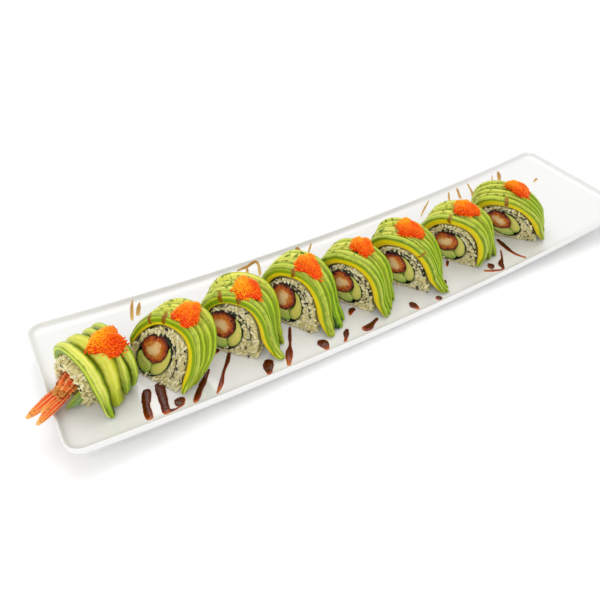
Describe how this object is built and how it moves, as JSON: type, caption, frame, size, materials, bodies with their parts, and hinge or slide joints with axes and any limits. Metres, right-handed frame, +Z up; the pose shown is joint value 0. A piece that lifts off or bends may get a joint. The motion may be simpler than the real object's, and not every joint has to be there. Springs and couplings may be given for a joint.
{
  "type": "uramaki roll on a plate",
  "caption": "Inside-out prawn tempura roll, cut into pieces under draped avocado slices and masago, in a row on a long slim porcelain plate with upswept ends.",
  "frame": {"origin": "centre of the plate's flat foot, on the table", "axes": "+X along the plate from the end with the prawn's tail to the far end, +Y towards the plate's free back strip, +Z up"},
  "size_m": [0.4267, 0.1, 0.0584],
  "materials": {
    "porcelain": "white glazed porcelain, glossy",
    "rice": "cooked short-grain rice, moist and slightly translucent",
    "nori": "damp dark green-black seaweed sheet",
    "prawn": "white prawn flesh in golden brown tempura crumb",
    "cucumber": "wet pale green flesh with a dark green skin",
    "avocado": "ripe avocado slices, lime green with darker green edges, satin",
    "avocado_stick": "ripe yellow-green avocado, satin",
    "masago": "orange fish roe, wet and glossy",
    "prawn_tail": "cooked prawn shell, red-orange with pale streaks",
    "sauce": "sweet brown eel sauce, thin and glossy",
    "sesame": "black sesame seed"
  },
  "bodies": {
    "root": {"plate": "porcelain", "rice_1": "rice", "nori_1": "nori", "prawn_1": "prawn", "cucumber_1": "cucumber", "avocado_stick_1": "avocado_stick", "avocado_fan_1": "avocado", "masago_1": "masago", "rice_2": "rice", "nori_2": "nori", "prawn_2": "prawn", "cucumber_2": "cucumber", "avocado_stick_2": "avocado_stick", "avocado_fan_2": "avocado", "masago_2": "masago", "rice_3": "rice", "nori_3": "nori", "prawn_3": "prawn", "cucumber_3": "cucumber", "avocado_stick_3": "avocado_stick", "avocado_fan_3": "avocado", "masago_3": "masago", "rice_4": "rice", "nori_4": "nori", "prawn_4": "prawn", "cucumber_4": "cucumber", "avocado_stick_4": "avocado_stick", "avocado_fan_4": "avocado", "masago_4": "masago", "rice_5": "rice", "nori_5": "nori", "prawn_5": "prawn", "cucumber_5": "cucumber", "avocado_stick_5": "avocado_stick", "avocado_fan_5": "avocado", "masago_5": "masago", "rice_6": "rice", "nori_6": "nori", "prawn_6": "prawn", "cucumber_6": "cucumber", "avocado_stick_6": "avocado_stick", "avocado_fan_6": "avocado", "masago_6": "masago", "rice_7": "rice", "nori_7": "nori", "prawn_7": "prawn", "cucumber_7": "cucumber", "avocado_stick_7": "avocado_stick", "avocado_fan_7": "avocado", "masago_7": "masago", "rice_8": "rice", "nori_8": "nori", "prawn_8": "prawn", "cucumber_8": "cucumber", "avocado_stick_8": "avocado_stick", "avocado_fan_8": "avocado", "masago_8": "masago", "prawn_tail": "prawn_tail"}
  },
  "joints": []
}
